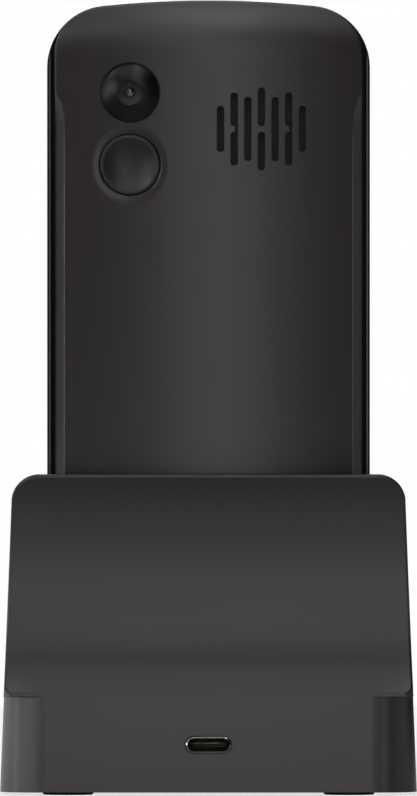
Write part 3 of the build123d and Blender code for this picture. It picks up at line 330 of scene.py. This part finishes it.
# The meshes behind the speaker slots and the earpiece slot are black acoustic cloth.
# It is woven square from single threads and glued on from behind.
def acoustic_cloth(name, colour):
    """Square-woven cloth: threads stand proud, the holes between them are darker."""
    material, tree, shader, place = new_finish(name)
    shader.inputs["Roughness"].default_value = 0.75
    shader.inputs["Specular IOR Level"].default_value = 0.3
    threads = []
    for direction in ("X", "Z"):
        thread = tree.nodes.new("ShaderNodeTexWave")
        thread.bands_direction = direction
        thread.inputs["Scale"].default_value = 950
        tree.links.new(place, thread.inputs["Vector"])
        threads.append(thread.outputs["Fac"])
    weave = reckon(tree, "MAXIMUM", *threads)
    tint(tree, weave, shader, shade(colour, 0.3), colour)
    raise_grain(tree, weave, shader, 0.5, 0.00005)
    return material


dress(acoustic_cloth("speaker_cloth", (0.02, 0.0195, 0.019)), "speaker_mesh", "earpiece_mesh")

# The speaker's gasket is a ring die-cut from black foam with open pores.
# It is squeezed between the loudspeaker and the cover, so that no sound leaks inside.
dress(moulded("gasket_foam", (0.015, 0.015, 0.016), 0.9, 0.2, 0.0006, 0.9), "speaker_gasket")

# The phone's own socket looks down out of its bottom end, with the same contacts and lip.
# The phone stands in the cradle's pocket with a slight lean, which all that is drawn for it here follows.
PHONE_FOOT = (0, 0.0045, 0.0254)
PHONE_LEAN = 1.5
SOCKET_IN_PHONE = (0, -0.0004, 0.00015)
PHONE_SEAT = Matrix.Translation(PHONE_FOOT) @ Matrix.Rotation(math.radians(-PHONE_LEAN), 4, "X")
LOOKING_DOWN = Matrix.Rotation(math.radians(180), 4, "X")
PHONE_MOUTH = PHONE_SEAT @ Matrix.Translation(SOCKET_IN_PHONE) @ LOOKING_DOWN
contact_strips("phone_usb_contacts", PHONE_MOUTH, "phone")
socket_lip("phone_socket_lip", PHONE_MOUTH, "phone")

# The front housing carries the window and the keypad, and is moulded in the cradle's charcoal plastic.
# Screws from behind hold it to the chassis frame.
dress(moulded("front_charcoal", CHARCOAL, 0.35, 0.5, SATIN_GRAIN, SATIN_DEPTH), "front_housing")

# The dome sheet under the keys is clear polyester film over snapped steel domes, greyish all over.
# It is stuck to the main board.
dress(moulded("dome_film", (0.25, 0.25, 0.24), 0.3, 0.5, 0.0015, 0.3), "keypad_sheet")


# The display's panel is asleep: dark, glossy and faintly ruled by its rows of picture cells.
# It sits behind the window in a frame of the front housing.
def sleeping_panel(name):
    """Dark polariser over a fine grid of cells."""
    material, tree, shader, place = new_finish(name)
    shader.inputs["Roughness"].default_value = 0.25
    upright = tree.nodes.new("ShaderNodeMapping")
    upright.inputs["Rotation"].default_value = (math.radians(90), 0, 0)
    tree.links.new(place, upright.inputs["Vector"])
    cells = tree.nodes.new("ShaderNodeTexBrick")
    cells.offset = 0
    cells.inputs["Scale"].default_value = 1000
    cells.inputs["Brick Width"].default_value = 0.14
    cells.inputs["Row Height"].default_value = 0.14
    cells.inputs["Mortar Size"].default_value = 0.012
    cells.inputs["Color1"].default_value = (0.011, 0.013, 0.016, 1)
    cells.inputs["Color2"].default_value = (0.012, 0.0145, 0.018, 1)
    cells.inputs["Mortar"].default_value = (0.006, 0.007, 0.008, 1)
    tree.links.new(upright.outputs["Vector"], cells.inputs["Vector"])
    tree.links.new(cells.outputs["Color"], shader.inputs["Base Color"])
    return material


dress(sleeping_panel("sleeping_panel"), "display_panel")

# The window's border is printed black on its back face and frames the panel.
# What faces the front is laid out flat, then turned to the front and leaned back with the phone.
WINDOW_WIDTH = 0.046
WINDOW_HEIGHT = 0.05775
WINDOW_MIDDLE = 0.091625
WINDOW_BACK = -0.0052
BORDER_MARGIN = 0.0001
BORDER_CORNER = 0.0019
BORDER_WIDTH = 0.0032
OPENING_CORNER = 0.0008
CORNER_STEPS = 6
INK = 0.00002
TO_THE_FRONT = Matrix.Rotation(math.radians(90), 4, "X")


def inked(name, colour, roughness):
    """Printing ink: even, with a soft mottle from the pad that laid it."""
    material, tree, shader, place = new_finish(name)
    shader.inputs["Roughness"].default_value = roughness
    tint(tree, mottle(tree, place, 2500, 2), shader, shade(colour, 0.85), colour)
    return material


def lay_on_front(name, flat, across, depth, along, material, body):
    """Turns a flat shape, drawn in the plane, to the phone's front and fixes it to a body."""
    seat = PHONE_SEAT @ Matrix.Translation((across, depth, along)) @ TO_THE_FRONT
    fix(name, flat, seat, material, body)


def rounded_oblong(flat, width, height, corner, steps):
    """Adds an oblong with round corners to a flat shape."""
    points = bmesh.ops.create_grid(flat, x_segments=1, y_segments=1, size=0.5)["verts"]
    bmesh.ops.scale(flat, vec=(width, height, 1), verts=points)
    bmesh.ops.bevel(
        flat, geom=points, offset=corner, segments=steps, profile=0.5, affect="VERTICES", material=-1
    )


border = bmesh.new()
for margin, corner in ((BORDER_MARGIN, BORDER_CORNER), (BORDER_WIDTH, OPENING_CORNER)):
    rounded_oblong(border, WINDOW_WIDTH - 2 * margin, WINDOW_HEIGHT - 2 * margin, corner, CORNER_STEPS)
bmesh.ops.delete(border, geom=border.faces[:], context="FACES_ONLY")
bmesh.ops.bridge_loops(border, edges=border.edges[:])
border_black = inked("border_black", (0.004, 0.004, 0.0045), 0.2)
lay_on_front(
    "window_border", border, 0, WINDOW_BACK + INK, WINDOW_MIDDLE, border_black, "phone"
)


# The window is hardened clear glass, glued into the front housing.
# Its coat sheds oil, and wiping leaves faint smears on it.
def clear_glass(name, smear):
    """Clear glass with faint smears, which lets light through to what lies behind it."""
    material, tree, shader, place = new_finish(name)
    shader.inputs["Base Color"].default_value = (0.96, 0.98, 0.98, 1)
    shader.inputs["Transmission Weight"].default_value = 1
    shader.inputs["IOR"].default_value = 1.5
    vary_gloss(tree, mottle(tree, place, 140, 5), shader, 0, smear)
    let_through = tree.nodes.new("ShaderNodeMixShader")
    tree.links.new(tree.nodes.new("ShaderNodeLightPath").outputs["Is Shadow Ray"], let_through.inputs["Fac"])
    tree.links.new(shader.outputs["BSDF"], let_through.inputs[1])
    tree.links.new(tree.nodes.new("ShaderNodeBsdfTransparent").outputs["BSDF"], let_through.inputs[2])
    tree.links.new(let_through.outputs["Shader"], tree.nodes["Material Output"].inputs["Surface"])
    return material


dress(clear_glass("window_glass", 0.06), "display_window")

# The keys are moulded one by one in a paler charcoal and sit in the front housing's openings.
# The up-down rocker between the upper keys is the same plastic. The rows are named from the bottom up.
KEYS = (
    ("key_star", "key_0", "key_hash"),
    ("key_7", "key_8", "key_9"),
    ("key_4", "key_5", "key_6"),
    ("key_1", "key_2", "key_3"),
)

key_grey = moulded("key_grey", (0.05, 0.049, 0.049), 0.45, 0.45, 0.0002, 0.2)
for row in KEYS:
    dress(key_grey, *row)
dress(key_grey, "soft_key_left", "soft_key_right", "call_key", "end_key", "nav_rocker")

# The legends are figures, a star and a hash, in pale ink.
# They are printed on the key tops with a soft pad.
KEY_PITCH = 0.0184
ROW_PITCH = 0.0084
FIRST_ROW = 0.0145
KEY_TOP = -0.0067
PRINT_FACE = KEY_TOP - INK
FIGURE_SIZE = 0.0046
FIGURES = {"key_star": "*", "key_hash": "#"}

pale_ink = inked("pale_ink", (0.72, 0.73, 0.72), 0.5)
for row_number, row in enumerate(KEYS):
    along = FIRST_ROW + row_number * ROW_PITCH
    for column, key in enumerate(row):
        lettering = bpy.data.curves.new(key + "_figure", "FONT")
        lettering.body = FIGURES.get(key, key[-1])
        lettering.size = FIGURE_SIZE
        lettering.align_x = "CENTER"
        lettering.align_y = "CENTER"
        writer = bpy.data.objects.new(key + "_writer", lettering)
        bpy.context.collection.objects.link(writer)
        drawn = bpy.data.meshes.new_from_object(writer)
        bpy.data.objects.remove(writer)
        figure = bmesh.new()
        figure.from_mesh(drawn)
        bpy.data.meshes.remove(drawn)
        across = (column - 1) * KEY_PITCH
        lay_on_front(key + "_legend", figure, across, PRINT_FACE, along, pale_ink, key)

# The call and end keys carry a handset in green and in red, printed like the figures.
# The end key's handset lies on its back.
UPPER_ROW = FIRST_ROW + len(KEYS) * ROW_PITCH
HANDSET_REACH = 0.0026
HANDSET_DROP = 0.75 * HANDSET_REACH
HANDSET_GRIP = 0.0006
HANDSET_CUP = 0.0013
# Each arc: the degrees where it starts and that it sweeps, and its width.
HANDSET_ARCS = ((40, 100, HANDSET_GRIP), (28, 26, HANDSET_CUP), (126, 26, HANDSET_CUP))
ARC_STEPS = 16


def handset(turned, drop):
    """A handset seen from the side: a bowed grip with a cup at each end, swept out from start to end."""
    flat = bmesh.new()
    for start, sweep, width in HANDSET_ARCS:
        turn = Matrix.Rotation(math.radians(start + turned), 4, "Z")
        reaches = (HANDSET_REACH - width, HANDSET_REACH)
        ends = [flat.verts.new(turn @ Vector((reach, 0, 0))) for reach in reaches]
        edge = flat.edges.new(ends)
        bmesh.ops.spin(
            flat, geom=ends + [edge], cent=(0, 0, 0), axis=(0, 0, 1), angle=math.radians(sweep),
            steps=ARC_STEPS
        )
    bmesh.ops.recalc_face_normals(flat, faces=flat.faces)
    bmesh.ops.translate(flat, vec=(0, drop, 0), verts=flat.verts)
    return flat


green_ink = inked("green_ink", (0.03, 0.45, 0.1), 0.5)
red_ink = inked("red_ink", (0.6, 0.03, 0.025), 0.5)
lifted = handset(0, -HANDSET_DROP)
lay_on_front("call_mark", lifted, -KEY_PITCH, PRINT_FACE, UPPER_ROW, green_ink, "call_key")
laid_down = handset(180, HANDSET_DROP)
lay_on_front("end_mark", laid_down, KEY_PITCH, PRINT_FACE, UPPER_ROW, red_ink, "end_key")

# The soft keys have a short bar each, and the rocker an arrowhead at its upper and its lower end.
# They are printed in the figures' pale ink.
SOFT_ROW = UPPER_ROW + ROW_PITCH
BAR_LENGTH = 0.0052
BAR_WIDTH = 0.0009
BAR_CORNER = 0.45 * BAR_WIDTH
BAR_CORNER_STEPS = 5
ARROW_REACH = 0.0016
ARROW_OUT = 0.0048
ROCKER_MIDDLE = 0.0523

for key, across in (("soft_key_left", -KEY_PITCH), ("soft_key_right", KEY_PITCH)):
    bar = bmesh.new()
    rounded_oblong(bar, BAR_LENGTH, BAR_WIDTH, BAR_CORNER, BAR_CORNER_STEPS)
    lay_on_front(key + "_bar", bar, across, PRINT_FACE, SOFT_ROW, pale_ink, key)
for name, turned, out in (("rocker_up_mark", 0, ARROW_OUT), ("rocker_down_mark", 180, -ARROW_OUT)):
    arrow = bmesh.new()
    turn = Matrix.Rotation(math.radians(turned), 4, "Z")
    bmesh.ops.create_circle(arrow, cap_ends=True, segments=3, radius=ARROW_REACH, matrix=turn)
    lay_on_front(name, arrow, 0, PRINT_FACE, ROCKER_MIDDLE + out, pale_ink, "nav_rocker")

# The rear cover is the crowned back of the phone, moulded in charcoal with a fine satin grain.
# It snaps over the chassis frame and leaves a narrow dark seam round it.
# A painted highlight runs along the rounded crease beside each flat flank, a paler colour up to where the
# flank runs out.
CREASE_FROM_MIDDLE = 0.02857
CREASE_WIDTH = 0.00022
CREASE_TOP = 0.133
CREASE_FADE = 0.006
CREASE_HIGHLIGHT = (0.085, 0.081, 0.08, 1)

back_charcoal = moulded("back_charcoal", CHARCOAL, 0.35, 0.5, SATIN_GRAIN, SATIN_DEPTH)
tree = back_charcoal.node_tree
place = own_place(tree)
on_crease = side_line(tree, place, CREASE_FROM_MIDDLE, CREASE_WIDTH)
below_top = between(tree, place["Z"], CREASE_TOP, CREASE_TOP - CREASE_FADE, 0, 1)
skin = tree.nodes["Principled BSDF"].inputs["Base Color"]
# The paler colour mixed in along the crease is a painted highlight.
painted_highlight = tree.nodes.new("ShaderNodeMix")
painted_highlight.data_type = "RGBA"
factor, plain_skin, highlight_colour = painted_highlight.inputs[0], painted_highlight.inputs[6], painted_highlight.inputs[7]
tree.links.new(reckon(tree, "MULTIPLY", on_crease, below_top), factor)
tree.links.new(skin.links[0].from_socket, plain_skin)
highlight_colour.default_value = CREASE_HIGHLIGHT
tree.links.new(painted_highlight.outputs[2], skin)
dress(back_charcoal, "rear_cover")

# The emergency button is a dished moulding of a darker charcoal that rides in the cover's round hole.
# It rests on the plunger of its switch.
dress(moulded("button_charcoal", (0.007, 0.0046, 0.0045), 0.45, 0.5, SATIN_GRAIN, SATIN_DEPTH), "sos_button")


# The camera's bezel is a domed black moulding with a gloss surface, pressed into its seat in the cover.
# In use its gloss has dulled to a soft sheen.
def polished(name, colour, roughness, shine):
    """A black gloss surface with a trace of haze."""
    material, tree, shader, place = new_finish(name)
    shader.inputs["Specular IOR Level"].default_value = shine
    haze = mottle(tree, place, 300, 6)
    tint(tree, haze, shader, shade(colour, 0.8), colour)
    vary_gloss(tree, haze, shader, 0.6 * roughness, 1.4 * roughness)
    return material


dress(polished("bezel_black", (0.001, 0.001, 0.001), 0.33, 0.28), "camera_bezel")

# A small clear window closes the bezel, and behind it sits the lens in the camera module.
# The lens is ground glass with a blue-violet coat against stray light.
dress(clear_glass("lens_window", 0.02), "camera_window")
lens_coat = polished("lens_coat", (0.002, 0.003, 0.008), 0.05, 1)
lens_coat.node_tree.nodes["Principled BSDF"].inputs["IOR"].default_value = 1.9
dress(lens_coat, "camera_lens")

# The stage's floor is pale, keeps the object's shadow and shows nearly white to the eye.
# Behind the object it shows so in glass and metal too. In front it does not, so that the base
# mirrors a darker floor.
FLOOR_REACH = 3
FLOOR_SHOWN = 0.7
FLOOR_MIRRORED = 0.8
FLOOR_FADE = 0.03


def set_up(name, shape, material):
    """Puts a piece of the stage in its place."""
    mesh = bpy.data.meshes.new(name)
    shape.to_mesh(mesh)
    shape.free()
    mesh.materials.append(material)
    piece = bpy.data.objects.new(name, mesh)
    bpy.context.collection.objects.link(piece)
    return piece


pale_floor = bpy.data.materials.new("pale_floor")
pale_floor.use_nodes = True
tree = pale_floor.node_tree
tree.nodes.remove(tree.nodes["Principled BSDF"])
ray = tree.nodes.new("ShaderNodeLightPath").outputs
mirrored = reckon(tree, "MAXIMUM", ray["Is Glossy Ray"], ray["Is Transmission Ray"])
behind = between(tree, own_place(tree)["Y"], 0, FLOOR_FADE, FLOOR_MIRRORED, 0)
mirrored_behind = reckon(tree, "MULTIPLY", mirrored, behind)
glow = tree.nodes.new("ShaderNodeEmission")
shown = reckon(tree, "MULTIPLY_ADD", ray["Is Camera Ray"], FLOOR_SHOWN, mirrored_behind)
tree.links.new(shown, glow.inputs["Strength"])
matt = tree.nodes.new("ShaderNodeBsdfDiffuse")
matt.inputs["Color"].default_value = (0.4, 0.4, 0.4, 1)
both = tree.nodes.new("ShaderNodeAddShader")
tree.links.new(matt.outputs["BSDF"], both.inputs[0])
tree.links.new(glow.outputs["Emission"], both.inputs[1])
tree.links.new(both.outputs["Shader"], tree.nodes["Material Output"].inputs["Surface"])
ground = bmesh.new()
bmesh.ops.create_grid(ground, x_segments=1, y_segments=1, size=FLOOR_REACH)
set_up("floor", ground, pale_floor)

# The wall behind the object is a white glowing sheet, which also lights the phone's front.
# It is clear from its own back, so that the front can be looked at through it.
WALL_REACH = 3
WALL_PLACE = Matrix.Translation((0, -1, 1)) @ Matrix.Rotation(math.radians(-90), 4, "X")

white_wall = bpy.data.materials.new("white_wall")
white_wall.use_nodes = True
tree = white_wall.node_tree
tree.nodes.remove(tree.nodes["Principled BSDF"])
one_sided = tree.nodes.new("ShaderNodeMixShader")
tree.links.new(tree.nodes.new("ShaderNodeNewGeometry").outputs["Backfacing"], one_sided.inputs[0])
tree.links.new(tree.nodes.new("ShaderNodeEmission").outputs["Emission"], one_sided.inputs[1])
tree.links.new(tree.nodes.new("ShaderNodeBsdfTransparent").outputs["BSDF"], one_sided.inputs[2])
tree.links.new(one_sided.outputs["Shader"], tree.nodes["Material Output"].inputs["Surface"])
sheet = bmesh.new()
bmesh.ops.create_grid(sheet, x_segments=1, y_segments=1, size=WALL_REACH, matrix=WALL_PLACE)
set_up("wall", sheet, white_wall)

# A black card stands on the floor, out of the picture, behind the object on the right.
# It keeps the right-hand edges dark and is not seen itself.
CARD_HEIGHT = 0.3
CARD_DEPTH = 0.29
CARD_PLACE = (
    Matrix.Translation((-0.12, -0.155, CARD_HEIGHT / 2))
    @ Matrix.Rotation(math.radians(90), 4, "Y")
    @ Matrix.Diagonal((CARD_HEIGHT, CARD_DEPTH, 1, 1))
)

black_felt = bpy.data.materials.new("black_felt")
black_felt.use_nodes = True
felt = black_felt.node_tree.nodes["Principled BSDF"]
felt.inputs["Base Color"].default_value = (0.002, 0.002, 0.002, 1)
felt.inputs["Specular IOR Level"].default_value = 0
board = bmesh.new()
bmesh.ops.create_grid(board, x_segments=1, y_segments=1, size=0.5, matrix=CARD_PLACE)
card = set_up("black_card", board, black_felt)
card.visible_camera = False

# The light is soft boxes round the object in a dark room. Some light all of it, others reach one part
# through a grid that narrows their beam: the phone's top edge, the camera, the panel, the base's corners.
WHOLE = Vector((0, 0.015, 0.08))
TOP_EDGE = Vector((0, 0.012, 0.15))
CAMERA = Vector((0.0155, 0.01, 0.133))
PANEL = Vector((0, 0.028, 0.052))
PANEL_FOOT = Vector((0, 0.03, 0.029))
LEFT_CORNER = Vector((0.036, 0.02, 0.012))
RIGHT_CORNER = Vector((-0.036, 0.02, 0.012))
OPEN = 180
# Each box: its aim, degrees to the picture's left and up, metres away, size, watts and beam in degrees.
# The watts began as a least-squares fit to the photo's tones, and were then changed and rounded.
SOFT_BOXES = (
    ("front_low", WHOLE, -2, -3, 0.95, (0.08, 0.16), 0.6, OPEN),
    ("front_middle", WHOLE, -2, 14, 0.95, (0.1, 0.16), 0.45, OPEN),
    ("front_high", WHOLE, 2, 27, 0.95, (0.08, 0.16), 0.26, OPEN),
    ("over_front", WHOLE, -2, 62, 0.95, (0.5, 0.2), 0.8, OPEN),
    ("overhead", WHOLE, 0, 90, 0.92, (0.4, 0.4), 1.4, OPEN),
    ("left_side", WHOLE, 56, 0, 0.95, (0.2, 0.2), 0.5, OPEN),
    ("left_edge", WHOLE, 101, 2.5, 0.92, (0.3, 0.4), 0.3, OPEN),
    ("right_high", WHOLE, -30, 45, 0.95, (0.2, 0.2), 0.25, OPEN),
    ("right_side", WHOLE, -70, 0, 0.95, (0.2, 0.2), 0.2, OPEN),
    ("right_edge", WHOLE, -90, 0, 0.95, (0.2, 0.2), 0.11, OPEN),
    ("top_middle", TOP_EDGE, -2, 36, 0.6, (0.3, 0.05), 0.0024, 8),
    ("top_high", TOP_EDGE, -2, 48, 0.6, (0.3, 0.05), 0.0034, 8),
    ("camera_low", CAMERA, 45, 8, 0.8, (0.35, 0.35), 0.037, 14),
    ("camera_key", CAMERA, 60, 36, 0.8, (0.22, 0.22), 0.036, 14),
    ("camera_top", CAMERA, 25, 34, 0.8, (0.35, 0.35), 0.016, 14),
    ("bounce_near", PANEL, 0, -30, 0.095, (0.3, 0.05), 0.0073, 70),
    ("bounce_far", PANEL, 0, -9, 0.32, (0.3, 0.05), 0.0085, 70),
    ("panel_foot", PANEL_FOOT, -2, 41, 0.6, (0.3, 0.05), 0.0012, 8),
    ("corner_front", LEFT_CORNER, 26, 2, 0.4, (0.1, 0.05), 0.0015, 14),
    ("corner_middle", LEFT_CORNER, 68, 2, 0.4, (0.1, 0.05), 0.0009, 14),
    ("corner_side", LEFT_CORNER, 85, 2, 0.4, (0.1, 0.05), 0.0021, 14),
    ("corner_behind", LEFT_CORNER, 115, 2, 0.4, (0.1, 0.05), 0.0004, 14),
    ("corner_right", RIGHT_CORNER, -34, 2, 0.4, (0.1, 0.05), 0.001, 14),
)

for name, aim, left, up, away, size, power, beam in SOFT_BOXES:
    box = bpy.data.lights.new(name, "AREA")
    box.shape = "RECTANGLE"
    box.size = size[0]
    box.size_y = size[1]
    box.energy = power
    box.spread = math.radians(beam)
    outward = Vector((0, 1, 0))
    outward.rotate(Euler((math.radians(up), 0, math.radians(-left))))
    lamp = bpy.data.objects.new(name, box)
    lamp.location = aim + away * outward
    lamp.rotation_euler = (-outward).to_track_quat("-Z", "Y").to_euler()
    lamp.visible_camera = False
    bpy.context.collection.objects.link(lamp)

# The room beyond the stage is white to the camera and gives no light of its own.
# It shows only from other sides than the picture's.
room = bpy.data.worlds.new("room")
room.use_nodes = True
tree = room.node_tree
backdrop = tree.nodes["Background"].inputs
backdrop["Color"].default_value = (1, 1, 1, 1)
tree.links.new(tree.nodes.new("ShaderNodeLightPath").outputs["Is Camera Ray"], backdrop["Strength"])
bpy.context.scene.world = room

# The camera looks level at the back of the phone from far away, as the picture does.
# Its long lens keeps the sides of the cradle nearly upright.
eye = bpy.data.cameras.new("eye")
eye.lens = 800
eye.sensor_width = 36
eye.clip_end = 20
camera = bpy.data.objects.new("camera", eye)
camera.location = (0, 3.518, 0.0785)
camera.rotation_euler = (math.radians(90), 0, math.radians(180))
bpy.context.collection.objects.link(camera)
bpy.context.scene.camera = camera
bpy.context.scene.view_settings.view_transform = "Standard"
